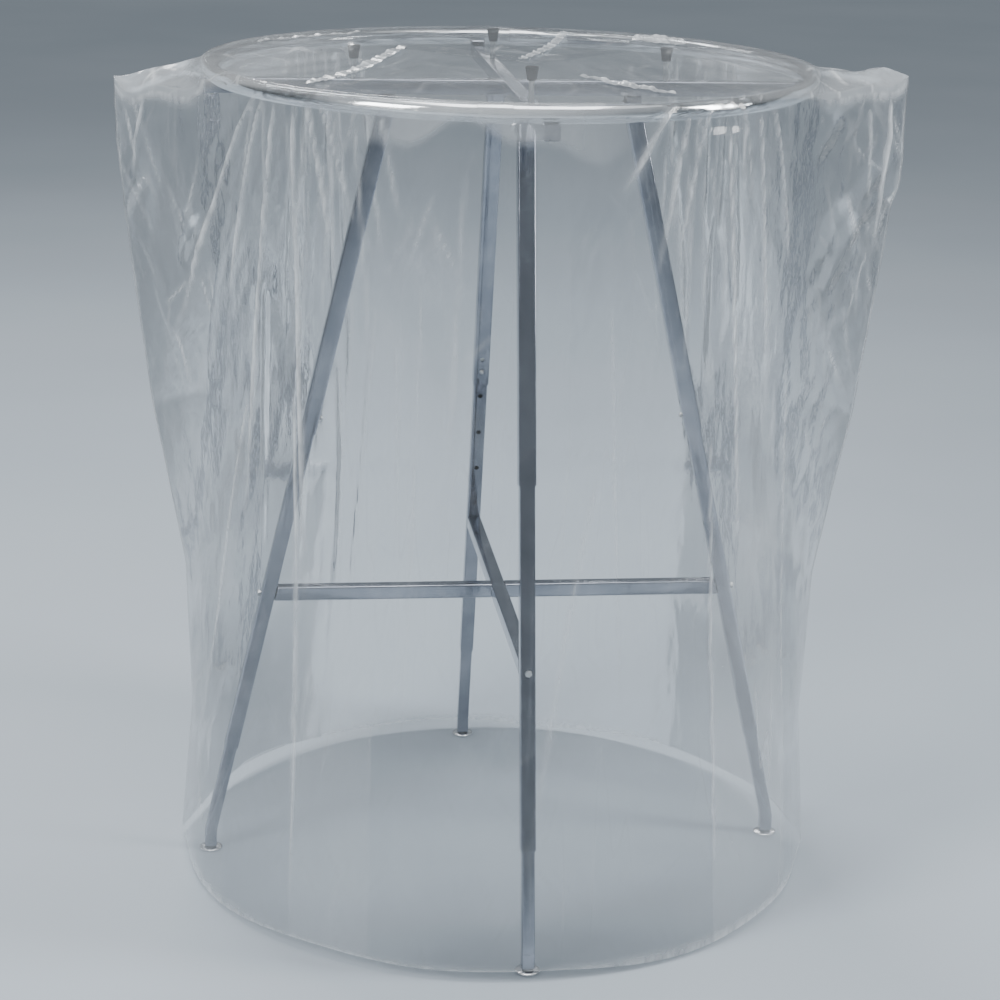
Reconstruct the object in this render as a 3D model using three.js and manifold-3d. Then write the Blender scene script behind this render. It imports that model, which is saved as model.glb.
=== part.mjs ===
// A round garment rack with a clear cover bag over it, in millimetres, +Z up.
// The origin is on the floor under the middle of the ring. The front leg points to -Y.
import * as THREE from "three";
import { mergeVertices } from "three/addons/utils/BufferGeometryUtils.js";
import Module from "manifold-3d";

const wasm = await Module();
wasm.setup();

// ---- Driving dimensions ----
const GAP = 0.3; // between pieces that touch
const RING_RADIUS = 444.5; // centreline, so the ring is 36 inches across outside
const RING_TUBE_R = 12.7;
const RING_WALL = 1.5;
const RING_Z = 1249;
const RING_SIDES = 12;
const RING_STEPS = 30; // along each half
const SPLICE_AZIMUTH = -99.7; // degrees, and the same again on the far side
const SPLICE_LENGTH = 47;
const SPLICE_CLEARANCE = 0.8; // round the ring tube
const SPLICE_WALL = 1;

const BAR_SIZE = 22.2; // square tube of the top bars, crossbars and base legs
const BAR_WALL = 1.2;
const TOP_BAR_REACH = 452;
const TOP_BAR_TOP = RING_Z - RING_TUBE_R - GAP;
const TOP_BAR_Z = TOP_BAR_TOP - BAR_SIZE / 2;
const RING_SCREW_R = 2.4;
const RING_SCREW_HEAD_R = 5;
const RING_SCREW_HOLE_R = 2.8;
const HUB_STUD_R = 3; // joins the two short bars of a cross to the long one
const HUB_STUD_REACH = 30;
const HUB_HOLE_R = 3.3;
const HUB_PLATE = 4; // closed inner end of a short bar

const LEG_SLOPE = 0.2325; // how far a leg leans in for each unit of height
const LEG_AXIS_AT_FLOOR = 463; // where the leg's line meets the floor
const LEAN = Math.atan(LEG_SLOPE);
const PIVOT_Z = 1195;
const UPPER_SIZE = 25.4;
const UPPER_WALL = 1.2;
const UPPER_PAST_PIVOT = 12;
const UPPER_END_Z = 695;
const BASE_TOP_Z = 980;
const BASE_END_Z = 178;
const PIVOT_BOLT_R = 4;
const PIVOT_HEAD_R = 7.2;
const BRACKET_WALL = 2.5;
const BRACKET_HALF_DEPTH = 11;

const LOCK_Z = 720; // the snap button's hole
const SPARE_HOLE_Z = 741; // the empty hole above it
const ROW_START_Z = 474; // lowest of the row of holes in a base leg
const ROW_PITCH = 68.55; // along the leg
const ROW_COUNT = 8;
const ROW_HOLE_R = 4;
const BUTTON_R = 3.6;
const BUTTON_STANDS_OUT = 4.5;
const BUTTON_HOLE_R = BUTTON_R + 0.4;

const FOOT_SIZE = 19.05;
const FOOT_WALL = 1.5;
const FOOT_TOP_Z = 253;
const FOOT_BEND_Z = 34; // below this the foot stands upright
const FOOT_BOTTOM_Z = 8;
const FOOT_PLUG = 12; // solid end that takes the glide's stem
const FOOT_HOLE_Z = 50;
const FOOT_HOLE_R = 2.5;
const GLIDE_R = 18.5;
const GLIDE_STEM_R = 4;
const GLIDE_STEM_TOP = 36;

const CROSSBAR_Z = 434;
const CROSSBAR_END_GAP = 1.2;
const CROSSBAR_BOLT_R = 3;
const CROSSBAR_HEAD_R = 5.5;

const POST_RADIUS = 234; // how far out each topper post stands
const POST_R = 4;
const BUMPER_TOP = 1285.3;
const BUMPER_HEIGHT = 20;

const COVER_WALL = 3;
const COVER_HEM_Z = 12;
const COVER_EAR_AZIMUTH = -7.24; // degrees, the direction in which the bag's two corners stand out

const LEGS = [
  ["front", -90],
  ["right", 0],
  ["rear", 90],
  ["left", 180],
];

// ---- Materials ----
const chrome = (name) => {
  const material = new THREE.MeshStandardMaterial({ color: 0xd4d6d8, roughness: 0.12, metalness: 1 });
  material.name = name;
  return material;
};
const zinc = () => new THREE.MeshStandardMaterial({ color: 0xb9bbbd, roughness: 0.3, metalness: 1 });
const rubber = () => new THREE.MeshStandardMaterial({ color: 0x151515, roughness: 0.7, metalness: 0 });
const film = () =>
  new THREE.MeshStandardMaterial({
    color: 0xe8eef2,
    roughness: 0.25,
    metalness: 0,
    transparent: true,
    opacity: 0.35,
  });

// ---- Solids: joining and cutting ----
function solidOf(geometry) {
  const bare = geometry.index ? geometry.toNonIndexed() : geometry.clone();
  bare.deleteAttribute("normal");
  bare.deleteAttribute("uv");
  const merged = mergeVertices(bare, 1e-4);
  return new wasm.Manifold(
    new wasm.Mesh({
      numProp: 3,
      vertProperties: new Float32Array(merged.attributes.position.array),
      triVerts: new Uint32Array(merged.index.array),
    }),
  );
}

function geometryOf(solid) {
  const mesh = solid.getMesh();
  const positions = new Float32Array(mesh.numVert * 3);
  for (let i = 0; i < mesh.numVert; i++) {
    positions.set(mesh.vertProperties.subarray(i * mesh.numProp, i * mesh.numProp + 3), i * 3);
  }
  const geometry = new THREE.BufferGeometry();
  geometry.setAttribute("position", new THREE.BufferAttribute(positions, 3));
  geometry.setIndex(new THREE.BufferAttribute(new Uint32Array(mesh.triVerts), 1));
  geometry.computeVertexNormals();
  return geometry;
}

function cut(geometry, tools) {
  let solid = solidOf(geometry);
  for (const tool of tools) {
    solid = solid.subtract(solidOf(tool));
  }
  return geometryOf(solid);
}

function join(geometries) {
  let solid = solidOf(geometries[0]);
  for (const more of geometries.slice(1)) {
    solid = solid.add(solidOf(more));
  }
  return geometryOf(solid);
}

// ---- Basic shapes ----
function block(x0, x1, y0, y1, z0, z1) {
  const box = new THREE.BoxGeometry(x1 - x0, y1 - y0, z1 - z0);
  return box.translate((x0 + x1) / 2, (y0 + y1) / 2, (z0 + z1) / 2);
}

// A cylinder along x, y or z, from one end to the other on that axis, through the point `at`.
function rod(axis, radius, from, to, at, sides = 16) {
  const cylinder = new THREE.CylinderGeometry(radius, radius, to - from, sides);
  const middle = (from + to) / 2;
  if (axis === "x") {
    return cylinder.rotateZ(-Math.PI / 2).translate(middle, at[1], at[2]);
  }
  if (axis === "y") {
    return cylinder.translate(at[0], middle, at[2]);
  }
  return cylinder.rotateX(Math.PI / 2).translate(at[0], at[1], middle);
}

// A turned piece: the profile is a list of [radius, height] that starts and ends on the axis, upwards.
function turned(profile, sides) {
  const points = profile.map(([r, z]) => new THREE.Vector2(r, z));
  return new THREE.LatheGeometry(points, sides).rotateX(Math.PI / 2);
}

// A plate whose side view is the outline of [radial, height] points, centred on y = 0.
function sidePlate(outline, thickness) {
  const shape = new THREE.Shape(outline.map(([r, z]) => new THREE.Vector2(r, z)));
  const plate = new THREE.ExtrudeGeometry(shape, { depth: thickness, bevelEnabled: false });
  return plate.rotateX(Math.PI / 2).translate(0, thickness / 2, 0);
}

function squareTube(size, wall, from, to) {
  const half = size / 2;
  const bore = half - wall;
  return [block(-half, half, -half, half, from, to), block(-bore, bore, -bore, bore, from - 1, to + 1)];
}

// ---- Placing ----
const rack = new THREE.Group();

function place(parent, name, geometry, material) {
  const mesh = new THREE.Mesh(geometry, material);
  mesh.name = name;
  parent.add(mesh);
}

const alongLeg = (z) => z / Math.cos(LEAN); // distance along the leg of the point at height z
const legRadius = (z) => LEG_AXIS_AT_FLOOR - LEG_SLOPE * z;

// ---- Ring ----
// Part of a torus round Z as a tube with open ends, from one azimuth to another in degrees.
function arcTube(outerR, innerR, fromDegrees, toDegrees, steps) {
  const section = new THREE.Shape();
  const hole = new THREE.Path();
  for (let i = 0; i < RING_SIDES; i++) {
    const a = (2 * Math.PI * i) / RING_SIDES;
    const [c, s] = [Math.cos(a), Math.sin(a)];
    section[i ? "lineTo" : "moveTo"](outerR * c, outerR * s);
    hole[i ? "lineTo" : "moveTo"](innerR * c, innerR * s);
  }
  section.closePath();
  hole.closePath();
  section.holes.push(hole);
  const straight = new THREE.ExtrudeGeometry(section, { depth: 1, steps, bevelEnabled: false });
  const bent = bendVertices(straight, (x, y, t) => {
    const a = THREE.MathUtils.degToRad(fromDegrees + (toDegrees - fromDegrees) * t);
    const r = RING_RADIUS + x;
    return [r * Math.cos(a), r * Math.sin(a), RING_Z + y];
  });
  return geometryOf(solidOf(bent));
}

// Moves every vertex. The bend used here turns faces inside out, so each triangle is reversed.
function bendVertices(geometry, move) {
  const bare = geometry.index ? geometry.toNonIndexed() : geometry;
  const source = bare.attributes.position;
  const moved = new Float32Array(source.count * 3);
  for (let i = 0; i < source.count; i++) {
    const flipped = i - (i % 3) + (2 - (i % 3));
    moved.set(move(source.getX(i), source.getY(i), source.getZ(i)), flipped * 3);
  }
  const result = new THREE.BufferGeometry();
  result.setAttribute("position", new THREE.BufferAttribute(moved, 3));
  return result;
}

const endGapDegrees = THREE.MathUtils.radToDeg(GAP / 2 / RING_RADIUS);

function halfRing(fromDegrees) {
  const tube = arcTube(
    RING_TUBE_R,
    RING_TUBE_R - RING_WALL,
    fromDegrees + endGapDegrees,
    fromDegrees + 180 - endGapDegrees,
    RING_STEPS,
  );
  const screwHoles = LEGS.map(([, azimuth]) => {
    const a = THREE.MathUtils.degToRad(azimuth);
    const at = [RING_RADIUS * Math.cos(a), RING_RADIUS * Math.sin(a), 0];
    return rod("z", RING_SCREW_HOLE_R, RING_Z - RING_TUBE_R - 3, RING_Z - 2, at, 10);
  });
  return cut(tube, screwHoles);
}

function addRing() {
  const splice = THREE.MathUtils.radToDeg(SPLICE_LENGTH / 2 / RING_RADIUS);
  place(rack, "half_ring_right", halfRing(SPLICE_AZIMUTH), chrome("ring chrome"));
  place(rack, "half_ring_left", halfRing(SPLICE_AZIMUTH + 180), chrome("ring chrome"));
  const names = ["ring_splice_front", "ring_splice_rear"];
  names.forEach((name, i) => {
    const middle = SPLICE_AZIMUTH + 180 * i;
    const bore = RING_TUBE_R + SPLICE_CLEARANCE;
    const sleeve = arcTube(bore + SPLICE_WALL, bore, middle - splice, middle + splice, 2);
    place(rack, name, sleeve, chrome("splice chrome"));
  });
}

// ---- Top bars ----
const screwHoleAt = (r, z0, z1) => rod("z", RING_SCREW_HOLE_R, z0, z1, [r, 0, 0], 10);
const postHoleAt = (r) => rod("z", POST_R + GAP, TOP_BAR_Z, TOP_BAR_TOP + 2, [r, 0, 0], 12);
const hubHole = (from, to, z) => rod("x", HUB_HOLE_R, from, to, [0, 0, z], 10);

// A bar along X, from one radius to another, drilled for a ring screw and a post at each outer end.
function topBar(from, to, ends) {
  const half = BAR_SIZE / 2;
  const bore = half - BAR_WALL;
  const tools = [];
  for (const end of ends) {
    tools.push(screwHoleAt(end * RING_RADIUS, TOP_BAR_Z - half - 2, TOP_BAR_TOP + 2));
    tools.push(postHoleAt(end * POST_RADIUS));
  }
  const closed = ends.length === 1 ? HUB_PLATE : -2; // the stud screws into a short bar's inner end
  tools.push(block(from + closed, to + 2, -bore, bore, TOP_BAR_Z - bore, TOP_BAR_Z + bore));
  if (ends.length === 1) {
    tools.push(hubHole(from - 2, from + HUB_PLATE + 2, TOP_BAR_Z));
  }
  return cut(block(from, to, -half, half, TOP_BAR_Z - half, TOP_BAR_TOP), tools);
}

// The long bar is turned to lie along Y, and gets a cross hole in the middle for the stud.
function longTopBar() {
  const bar = topBar(-TOP_BAR_REACH, TOP_BAR_REACH, [-1, 1]);
  return cut(bar, [rod("y", HUB_HOLE_R, -20, 20, [0, 0, TOP_BAR_Z], 10)]).rotateZ(Math.PI / 2);
}

const hubStud = (z) => rod("x", HUB_STUD_R, -HUB_STUD_REACH, HUB_STUD_REACH, [0, 0, z], 12);

function addTopBars() {
  const inner = BAR_SIZE / 2 + GAP;
  place(rack, "top_bar_long", longTopBar(), chrome("bar chrome"));
  place(rack, "top_bar_right", topBar(inner, TOP_BAR_REACH, [1]), chrome("bar chrome"));
  place(rack, "top_bar_left", topBar(inner, TOP_BAR_REACH, [1]).rotateZ(Math.PI), chrome("bar chrome"));
  place(rack, "top_hub_stud", hubStud(TOP_BAR_Z), zinc());
}

// Screw from under a top bar up into the ring.
function ringScrew() {
  const under = TOP_BAR_Z - BAR_SIZE / 2 - GAP;
  const profile = [
    [0, under - 3],
    [RING_SCREW_HEAD_R - 1.6, under - 3],
    [RING_SCREW_HEAD_R, under - 1.2],
    [RING_SCREW_HEAD_R, under],
    [RING_SCREW_R, under],
    [RING_SCREW_R, RING_Z - RING_TUBE_R + 6],
    [0, RING_Z - RING_TUBE_R + 6],
  ];
  return turned(profile, 10).translate(RING_RADIUS, 0, 0);
}

function topperPost() {
  const foot = TOP_BAR_Z - BAR_SIZE / 2 + BAR_WALL + GAP;
  return rod("z", POST_R, foot, BUMPER_TOP - 6, [POST_RADIUS, 0, 0], 12);
}

// Black rubber bumper, wider at the top, pushed over the post.
function topperBumper() {
  const bottom = BUMPER_TOP - BUMPER_HEIGHT;
  const bore = POST_R + GAP;
  const profile = [
    [bore, bottom],
    [6.75, bottom],
    [9, BUMPER_TOP - 4.5],
    [9.5, BUMPER_TOP - 3],
    [9.5, BUMPER_TOP - 1],
    [8.6, BUMPER_TOP],
    [0, BUMPER_TOP],
    [0, BUMPER_TOP - 5.5],
    [bore, BUMPER_TOP - 5.5],
    [bore, bottom],
  ];
  return turned(profile, 14).translate(POST_RADIUS, 0, 0);
}

// ---- Leg pivots ----
// U-shaped bracket under a top bar, with an ear on each side of the leg.
function legBracket() {
  const r = legRadius(PIVOT_Z);
  const inside = UPPER_SIZE / 2 + GAP;
  const outside = inside + BRACKET_WALL;
  const top = TOP_BAR_Z - BAR_SIZE / 2 - GAP;
  const ear = [
    [r - BRACKET_HALF_DEPTH, top],
    [r - BRACKET_HALF_DEPTH, PIVOT_Z - 4],
    [r - 6, PIVOT_Z - 11],
    [r + 6, PIVOT_Z - 11],
    [r + BRACKET_HALF_DEPTH, PIVOT_Z - 4],
    [r + BRACKET_HALF_DEPTH, top],
  ];
  const tools = [
    block(r - 20, r + 20, -inside, inside, PIVOT_Z - 20, top - BRACKET_WALL),
    rod("y", PIVOT_BOLT_R + GAP, -30, 30, [r, 0, PIVOT_Z], 14),
  ];
  return cut(sidePlate(ear.reverse(), 2 * outside), tools);
}

// Hex-headed bolt with its nut, across the bracket.
function pivotBolt() {
  const r = legRadius(PIVOT_Z);
  const face = UPPER_SIZE / 2 + GAP + BRACKET_WALL + GAP;
  const at = [r, 0, PIVOT_Z];
  return join([
    rod("y", PIVOT_BOLT_R, -face - 4, face + 4, at, 14),
    rod("y", PIVOT_HEAD_R, -face - 5, -face, at, 6),
    rod("y", PIVOT_HEAD_R, face, face + 6, at, 6),
  ]);
}

// ---- Legs, in the leaning frame of one leg: x outwards, z up along the leg ----
const holeInside = (z, radius, reach) => rod("x", radius, -reach, -reach + 8, [0, 0, alongLeg(z)], 8);

function upperLeg() {
  const [outside, bore] = squareTube(
    UPPER_SIZE,
    UPPER_WALL,
    alongLeg(UPPER_END_Z),
    alongLeg(PIVOT_Z) + UPPER_PAST_PIVOT,
  );
  return cut(outside, [
    bore,
    rod("y", PIVOT_BOLT_R + GAP, -20, 20, [0, 0, alongLeg(PIVOT_Z)], 14),
    holeInside(LOCK_Z, BUTTON_HOLE_R, 16),
    holeInside(SPARE_HOLE_Z, ROW_HOLE_R, 16),
  ]);
}

// The base leg slides inside the upper leg. Its row of holes is on the side that faces the middle.
function baseLeg() {
  const [outside, bore] = squareTube(BAR_SIZE, BAR_WALL, alongLeg(BASE_END_Z), alongLeg(BASE_TOP_Z));
  const row = [];
  for (let i = 0; i < ROW_COUNT; i++) {
    const z = ROW_START_Z + i * ROW_PITCH * Math.cos(LEAN);
    row.push(holeInside(z, ROW_HOLE_R, 14));
  }
  const boltHole = rod("z", CROSSBAR_BOLT_R + 0.4, -30, 30, [0, 0, 0], 12);
  boltHole.rotateY(Math.PI / 2 + LEAN).translate(0, 0, alongLeg(CROSSBAR_Z));
  return cut(outside, [bore, ...row, holeInside(LOCK_Z, BUTTON_HOLE_R, 14), boltHole]);
}

// Snap button on its V-shaped leaf spring, inside the base leg.
function snapButton() {
  const s = alongLeg(LOCK_Z);
  const wall = BAR_SIZE / 2 - BAR_WALL - GAP;
  const tip = -UPPER_SIZE / 2 - BUTTON_STANDS_OUT;
  const leaf = [
    [-wall, s - 12],
    [-wall, s + 20],
    [-wall + 6, s + 46],
    [wall - 6, s + 46],
    [wall, s + 20],
    [wall, s - 12],
    [wall - 0.8, s - 12],
    [wall - 0.8, s + 20],
    [wall - 6.6, s + 45.2],
    [-wall + 6.6, s + 45.2],
    [-wall + 0.8, s + 20],
    [-wall + 0.8, s - 12],
  ];
  return join([
    sidePlate(leaf.reverse(), 9),
    rod("x", BUTTON_R, tip + 1.2, -wall + 0.5, [0, 0, s], 14),
    rod("x", BUTTON_R * 0.72, tip, tip + 1.4, [0, 0, s], 14),
  ]);
}

// ---- Foot, in the upright plane of one leg: x outwards, z up from the floor ----
const footRadius = legRadius(FOOT_BEND_Z);

// Side outline of the bent foot for a tube of the given half width, between two ends.
function footOutline(half, topZ, bottomZ) {
  const n = [Math.cos(LEAN), Math.sin(LEAN)];
  const top = [legRadius(topZ), topZ];
  const bend = (half * (1 / Math.cos(LEAN) - 1)) / LEG_SLOPE;
  return [
    [footRadius - half, bottomZ],
    [footRadius + half, bottomZ],
    [footRadius + half, FOOT_BEND_Z + bend],
    [top[0] + half * n[0], top[1] + half * n[1]],
    [top[0] - half * n[0], top[1] - half * n[1]],
    [footRadius - half, FOOT_BEND_Z - bend],
  ];
}

function footTube() {
  const half = FOOT_SIZE / 2;
  const bore = half - FOOT_WALL;
  return cut(sidePlate(footOutline(half, FOOT_TOP_Z, FOOT_BOTTOM_Z), FOOT_SIZE), [
    sidePlate(footOutline(bore, FOOT_TOP_Z + 4, FOOT_BOTTOM_Z + FOOT_PLUG), 2 * bore),
    rod("z", GLIDE_STEM_R + GAP, 0, FOOT_BOTTOM_Z + FOOT_PLUG + 4, [footRadius, 0, 0], 14),
    rod("x", FOOT_HOLE_R, footRadius - 14, footRadius - 4, [0, 0, FOOT_HOLE_Z], 10),
  ]);
}

// Levelling glide: a domed steel disc on a threaded stem.
function glide() {
  const profile = [
    [0, 0],
    [GLIDE_R - 1, 0],
    [GLIDE_R, 1],
    [GLIDE_R, 3],
    [GLIDE_R - 1.6, 4.4],
    [9, 5.8],
    [GLIDE_STEM_R, 6.4],
    [GLIDE_STEM_R, GLIDE_STEM_TOP],
    [0, GLIDE_STEM_TOP],
  ];
  return turned(profile, 18).translate(footRadius, 0, 0);
}

// ---- Crossbars ----
// A bar along X whose outer end is cut to lie along the leg's inner side.
function crossbar(from) {
  const half = BAR_SIZE / 2;
  const bore = half - BAR_WALL;
  const end = (z) => legRadius(z) - half / Math.cos(LEAN) - CROSSBAR_END_GAP;
  const [low, high] = [CROSSBAR_Z - half, CROSSBAR_Z + half];
  const whole = from < 0;
  const inner = whole ? [-end(low), -end(high)] : [from, from];
  const outline = [
    [inner[0], low],
    [end(low), low],
    [end(high), high],
    [inner[1], high],
  ];
  const boreFrom = whole ? -400 : from + HUB_PLATE;
  const tools = [block(boreFrom, 400, -bore, bore, CROSSBAR_Z - bore, CROSSBAR_Z + bore)];
  if (whole) {
    tools.push(rod("y", HUB_HOLE_R, -20, 20, [0, 0, CROSSBAR_Z], 10));
  } else {
    tools.push(hubHole(from - 2, from + HUB_PLATE + 2, CROSSBAR_Z));
  }
  return cut(sidePlate(outline, BAR_SIZE), tools);
}

// Bolt through a base leg, loose in the open end of the crossbar.
function crossbarBolt() {
  const outer = legRadius(CROSSBAR_Z) + BAR_SIZE / 2 / Math.cos(LEAN);
  const head = outer + CROSSBAR_HEAD_R * LEG_SLOPE + GAP;
  const at = [0, 0, CROSSBAR_Z];
  return join([
    rod("x", CROSSBAR_BOLT_R, outer - 49, head + 2, at, 12),
    rod("x", CROSSBAR_HEAD_R, head, head + 4, at, 6),
  ]);
}

function addCrossbars() {
  const inner = BAR_SIZE / 2 + GAP;
  place(rack, "crossbar_long", crossbar(-1).rotateZ(Math.PI / 2), chrome("bar chrome"));
  place(rack, "crossbar_right", crossbar(inner), chrome("bar chrome"));
  place(rack, "crossbar_left", crossbar(inner).rotateZ(Math.PI), chrome("bar chrome"));
  place(rack, "crossbar_hub_stud", hubStud(CROSSBAR_Z), zinc());
}

// ---- One leg with everything on its axis ----
function addLeg(name, azimuth) {
  const upright = new THREE.Group();
  upright.rotation.z = THREE.MathUtils.degToRad(azimuth);
  rack.add(upright);
  const leaning = new THREE.Group();
  leaning.position.x = LEG_AXIS_AT_FLOOR;
  leaning.rotation.y = -LEAN;
  upright.add(leaning);

  place(upright, `ring_screw_${name}`, ringScrew(), zinc());
  place(upright, `topper_post_${name}`, topperPost(), zinc());
  place(upright, `topper_bumper_${name}`, topperBumper(), rubber());
  place(upright, `leg_bracket_${name}`, legBracket(), chrome("bracket chrome"));
  place(upright, `pivot_bolt_${name}`, pivotBolt(), zinc());
  place(leaning, `upper_leg_${name}`, upperLeg(), chrome("leg chrome"));
  place(leaning, `base_leg_${name}`, baseLeg(), chrome("leg chrome"));
  place(leaning, `snap_button_${name}`, snapButton(), zinc());
  place(upright, `crossbar_bolt_${name}`, crossbarBolt(), zinc());
  place(upright, `foot_tube_${name}`, footTube(), chrome("foot chrome"));
  place(upright, `glide_${name}`, glide(), chrome("glide chrome"));
}

// ---- Cover bag ----
// Levels of the bag's inner side, from the hem up: [height, radius of the round part, reach of the ears].
const COVER_LEVELS = [
  [COVER_HEM_Z, 486, 500],
  [240, 478, 494],
  [480, 470, 500],
  [740, 464, 538],
  [1000, 462, 568],
  [1180, 461.5, 586],
  [1240, 461.5, 590],
  [1258, 461.5, 584],
  [1270, 452, 545],
  [1280, 380, 425],
  [1289, 256, 256],
];
const COVER_AROUND = 40;
const COVER_PEAK = 1291;

// Radius of a level in a direction: a circle, and the two straight tangents that meet at each ear.
function coverRadius(level, angle, outwards) {
  const [, round, ear] = level;
  const fromEar = Math.abs(Math.atan2(Math.sin(angle), Math.abs(Math.cos(angle))));
  const open = Math.max(0, Math.acos(Math.min(1, round / ear)) - fromEar);
  return round / Math.cos(open) + outwards;
}

function coverBag() {
  const positions = [];
  const faces = [];
  const turn = THREE.MathUtils.degToRad(COVER_EAR_AZIMUTH);
  const levels = COVER_LEVELS.length;
  const skins = [
    [0, 0],
    [COVER_WALL, COVER_WALL],
  ];
  for (const [outwards, upwards] of skins) {
    COVER_LEVELS.forEach((level, j) => {
      for (let i = 0; i < COVER_AROUND; i++) {
        const angle = (2 * Math.PI * i) / COVER_AROUND;
        const r = coverRadius(level, angle, j > levels - 3 ? 0 : outwards);
        const z = level[0] + (j === 0 ? 0 : upwards);
        positions.push(r * Math.cos(angle + turn), r * Math.sin(angle + turn), z);
      }
    });
    positions.push(0, 0, COVER_PEAK + upwards);
  }
  const perSkin = levels * COVER_AROUND + 1;
  const quad = (a, b, c, d, flip) => {
    if (flip) {
      faces.push(a, c, b, a, d, c);
    } else {
      faces.push(a, b, c, a, c, d);
    }
  };
  for (let skin = 0; skin < 2; skin++) {
    const base = skin * perSkin;
    for (let i = 0; i < COVER_AROUND; i++) {
      const next = (i + 1) % COVER_AROUND;
      for (let j = 0; j < levels - 1; j++) {
        const low = base + j * COVER_AROUND;
        quad(low + i, low + next, low + COVER_AROUND + next, low + COVER_AROUND + i, skin === 0);
      }
      const last = base + (levels - 1) * COVER_AROUND;
      const peak = base + perSkin - 1;
      faces.push(...(skin ? [last + i, last + next, peak] : [last + next, last + i, peak]));
    }
  }
  for (let i = 0; i < COVER_AROUND; i++) {
    const next = (i + 1) % COVER_AROUND;
    quad(i, next, perSkin + next, perSkin + i, false);
  }
  const geometry = new THREE.BufferGeometry();
  geometry.setAttribute("position", new THREE.BufferAttribute(new Float32Array(positions), 3));
  geometry.setIndex(faces);
  geometry.computeVertexNormals();
  return geometry;
}

// ---- The whole rack ----
addRing();
addTopBars();
addCrossbars();
for (const [name, azimuth] of LEGS) {
  addLeg(name, azimuth);
}
place(rack, "cover", coverBag(), film());

export default rack;
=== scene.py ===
import math

import bmesh
import bpy
import numpy as np
from mathutils import Matrix, Vector


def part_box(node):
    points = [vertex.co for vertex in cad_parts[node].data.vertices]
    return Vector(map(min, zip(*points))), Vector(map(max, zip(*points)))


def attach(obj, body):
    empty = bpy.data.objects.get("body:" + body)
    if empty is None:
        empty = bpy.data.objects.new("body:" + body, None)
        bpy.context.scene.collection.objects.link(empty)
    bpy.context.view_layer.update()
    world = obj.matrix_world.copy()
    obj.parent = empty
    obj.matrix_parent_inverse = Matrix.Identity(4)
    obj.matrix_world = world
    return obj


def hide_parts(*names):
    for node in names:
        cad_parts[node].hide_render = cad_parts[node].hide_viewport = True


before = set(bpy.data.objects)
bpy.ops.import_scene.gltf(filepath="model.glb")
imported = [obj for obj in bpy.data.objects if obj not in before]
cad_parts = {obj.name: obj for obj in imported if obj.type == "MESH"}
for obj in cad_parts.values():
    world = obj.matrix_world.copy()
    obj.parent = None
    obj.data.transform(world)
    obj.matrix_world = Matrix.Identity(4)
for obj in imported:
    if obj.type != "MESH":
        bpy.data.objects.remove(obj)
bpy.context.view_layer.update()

# ---- Sizes in metres, in the frame's own terms ----
RING_LOW, RING_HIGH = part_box("half_ring_right")
RING_TUBE_R = 0.0127
RING_RADIUS = 0.4445
RING_Z = (RING_LOW.z + RING_HIGH.z) / 2
SPLICE_AZIMUTH = math.radians(-99.7)
SPLICE_HALF_ANGLE = 0.0235 / RING_RADIUS
BAR = 0.0222
BAR_WALL = 0.0012
TOP_BAR_Z = (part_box("top_bar_long")[0].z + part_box("top_bar_long")[1].z) / 2
TOP_BAR_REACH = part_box("top_bar_long")[1].y
CROSSBAR_Z = (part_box("crossbar_long")[0].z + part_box("crossbar_long")[1].z) / 2
LEG_SLOPE = 0.2325
LEG_AT_FLOOR = 0.463
LEAN = math.atan(LEG_SLOPE)
UPPER = 0.0254
PIVOT_Z = 1.195
UPPER_END_Z = 0.695
BASE_TOP_Z = 0.980
BASE_END_Z = 0.178
LOCK_Z = 0.720
SPARE_HOLE_Z = 0.741
ROW_START_Z = 0.474
ROW_PITCH = 0.06855 * math.cos(LEAN)
FOOT = 0.01905
FOOT_TOP_Z = 0.253
FOOT_BEND_Z = 0.034
FOOT_BOTTOM_Z = 0.008
POST_RADIUS = 0.234
POST_ROD_R = 0.004
BUMPER_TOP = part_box("topper_bumper_front")[1].z
CORNER = 0.0026  # outside corner radius of the square tubes
FOOT_WALL = 0.0015
LEG_HOLE_R = 0.0040
TUBE_GAP = 0.0003  # between tubes that lie face to face
BRACKET_WALL = 0.0025
LEG_AZIMUTHS = {"front": -90, "right": 0, "rear": 90, "left": 180}
EAR_AZIMUTH = math.radians(-7.24)
UP = Vector((0, 0, 1))


# ---- Camera ----
def make_camera():
    """The photograph's view: 3.74 m away and 1.72 m up, 17 degrees down, rolled by 1.5 degrees."""
    distance, height = 3.7355, 1.7194
    pitch, roll, turn = math.radians(16.95), math.radians(1.46), math.radians(7.24)
    focal = 2.4933  # in image widths
    away = Vector((0, -1, 0))
    away.rotate(Matrix.Rotation(-turn, 3, "Z"))
    forward = (-away * math.cos(pitch) - UP * math.sin(pitch)).normalized()
    right = forward.cross(UP).normalized()
    up = right.cross(forward)
    right_rolled = right * math.cos(roll) + up * math.sin(roll)
    up_rolled = up * math.cos(roll) - right * math.sin(roll)
    data = bpy.data.cameras.new("camera")
    data.sensor_width = 36
    data.lens = focal * 36
    data.clip_start, data.clip_end = 0.05, 200
    cam = bpy.data.objects.new("camera", data)
    axes = Matrix((right_rolled, up_rolled, -forward)).transposed().to_4x4()
    cam.matrix_world = Matrix.Translation(away * distance + UP * height) @ axes
    bpy.context.scene.collection.objects.link(cam)
    bpy.context.scene.camera = cam
    return cam


# ---- Node helpers ----
def new_material(name):
    mat = bpy.data.materials.new(name)
    mat.use_nodes = True
    tree = mat.node_tree
    tree.nodes.clear()
    out = tree.nodes.new("ShaderNodeOutputMaterial")
    return mat, tree, out


def add(tree, kind, **sockets):
    node = tree.nodes.new(kind)
    for key, value in sockets.items():
        node.inputs[key.replace("_", " ")].default_value = value
    return node


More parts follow.
